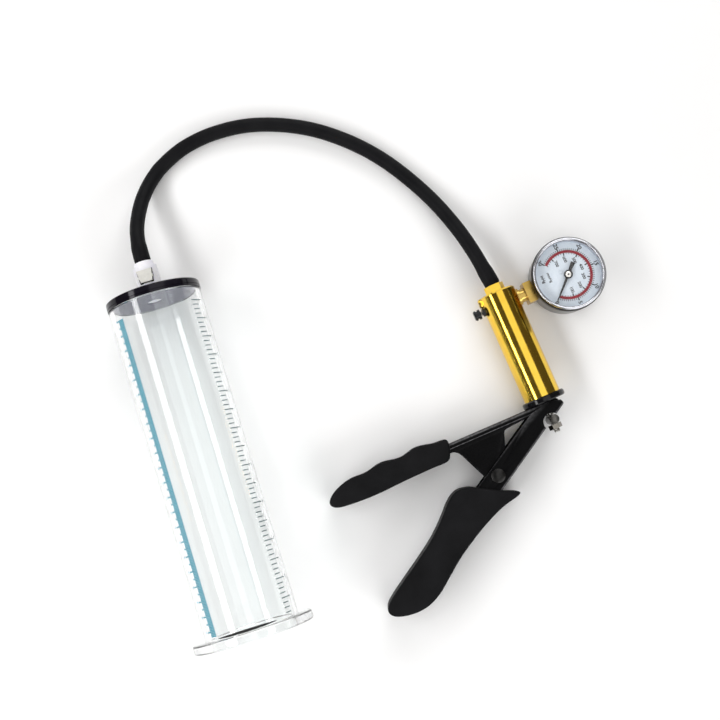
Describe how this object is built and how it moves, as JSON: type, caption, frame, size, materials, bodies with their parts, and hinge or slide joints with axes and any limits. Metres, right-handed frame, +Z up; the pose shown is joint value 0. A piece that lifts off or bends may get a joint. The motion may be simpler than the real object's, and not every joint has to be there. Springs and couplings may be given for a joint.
{
  "type": "hand vacuum pump",
  "caption": "Squeeze-grip brass hand vacuum pump with a dial gauge, joined by a rubber hose and quick-release coupling to a clear graduated cylinder.",
  "frame": {"origin": "on the table, under the middle of the box round the object without its hose and hose insert", "axes": "+Z up from the table, -Y along the cylinder towards its mouth, +X from the cylinder towards the pump and gauge"},
  "size_m": [0.3378, 0.3626, 0.081],
  "materials": {
    "clear_acrylic": "clear polished acrylic",
    "black_gloss": "polished black acrylic",
    "acetal": "satin translucent white",
    "black_plastic": "semi-gloss moulded black",
    "nylon": "machined",
    "hose_rubber": "satin extruded rubber",
    "black_rubber": "matte",
    "grip_rubber": "matte moulded grip",
    "brass": "polished",
    "steel": "bright zinc plated",
    "black_steel": "semi-gloss black",
    "gauge_steel": "satin grey",
    "chrome": "polished",
    "lens": "clear",
    "dial_white": "matte white print",
    "needle_black": "satin"
  },
  "bodies": {
    "pump": {"cylinder_tube": "clear_acrylic", "cylinder_flange": "clear_acrylic", "cylinder_cap": "black_gloss", "cap_gasket": "black_rubber", "coupling_body": "acetal", "latch_spring": "steel", "coupling_valve_spring": "steel", "hose_insert": "acetal", "coupling_seal": "black_rubber", "hose": "hose_rubber", "hose_fitting": "brass", "pump_head": "brass", "inlet_valve": "black_rubber", "valve_retainer": "brass", "check_valve_plug": "brass", "release_valve_body": "black_plastic", "release_spring": "steel", "barrel": "brass", "barrel_seal": "black_rubber", "return_spring": "steel", "end_cap": "black_plastic", "end_cap_screws": "steel", "handle_frame": "black_steel", "finger_grip": "grip_rubber", "pivot_rivet": "steel", "pivot_spacer": "steel", "gauge_socket": "brass", "gauge_case": "gauge_steel", "gauge_bezel": "chrome", "gauge_lens": "lens", "lens_gasket": "black_rubber", "gauge_dial": "dial_white", "dial_screws": "steel", "bourdon_tube": "brass", "movement_plates": "brass", "case_screws": "steel"},
    "lever": {"palm_lever": "black_steel", "palm_grip": "grip_rubber"},
    "piston_assembly": {"piston": "nylon", "piston_seal": "black_rubber", "piston_rod": "steel", "trunnion": "steel", "rod_nut": "steel"},
    "release_button": {"release_button": "black_plastic"},
    "latch": {"coupling_latch": "steel"},
    "valve_poppet": {"coupling_valve": "acetal"},
    "needle": {"gauge_needle": "needle_black", "gauge_pinion": "brass", "gauge_hairspring": "steel"},
    "sector": {"gauge_sector": "brass", "bourdon_link": "steel"}
  },
  "joints": [
    {"name": "lever_squeeze", "type": "hinge", "parent": "pump", "child": "lever", "pos_m": [0.05698, -0.06766, 0.015], "axis": [0, 0, -1], "range_deg": [0, 26], "stiffness_Nm_per_rad": 1.1, "springref_deg": -11.46},
    {"name": "piston_slide", "type": "slide", "parent": "pump", "child": "piston_assembly", "axis": [0.1011, -0.9949, 0], "range_m": [0, 0.024], "deforming": ["return_spring"]},
    {"name": "release_press", "type": "slide", "parent": "pump", "child": "release_button", "axis": [0.9949, 0.1011, 0], "range_m": [0, 0.0012], "stiffness_N_per_m": 400, "springref_m": -0.002, "deforming": ["release_spring"]},
    {"name": "latch_press", "type": "slide", "parent": "pump", "child": "latch", "axis": [0, -0.0353, -0.9994], "range_m": [0, 0.0012], "stiffness_N_per_m": 600, "springref_m": -0.002, "deforming": ["latch_spring"]},
    {"name": "valve_open", "type": "slide", "parent": "pump", "child": "valve_poppet", "axis": [0, -0.9994, 0.0353], "range_m": [0, 0.0015], "stiffness_N_per_m": 200, "springref_m": -0.002, "deforming": ["coupling_valve_spring"]},
    {"name": "needle_turn", "type": "hinge", "parent": "pump", "child": "needle", "pos_m": [0.14369, 0.04749, 0.015], "axis": [0, 0, 1], "range_deg": [0, 270], "stiffness_Nm_per_rad": 0.00001, "springref_deg": -28.65},
    {"name": "sector_turn", "type": "hinge", "parent": "pump", "child": "sector", "pos_m": [0.14505, 0.03406, 0.015], "axis": [0, 0, 1], "range_deg": [-35, 0]}
  ],
  "couplings": [
    {"joint": "piston_slide", "follows": "lever_squeeze", "m_per_rad": 0.0525},
    {"joint": "sector_turn", "follows": "needle_turn", "ratio": -0.125}
  ]
}
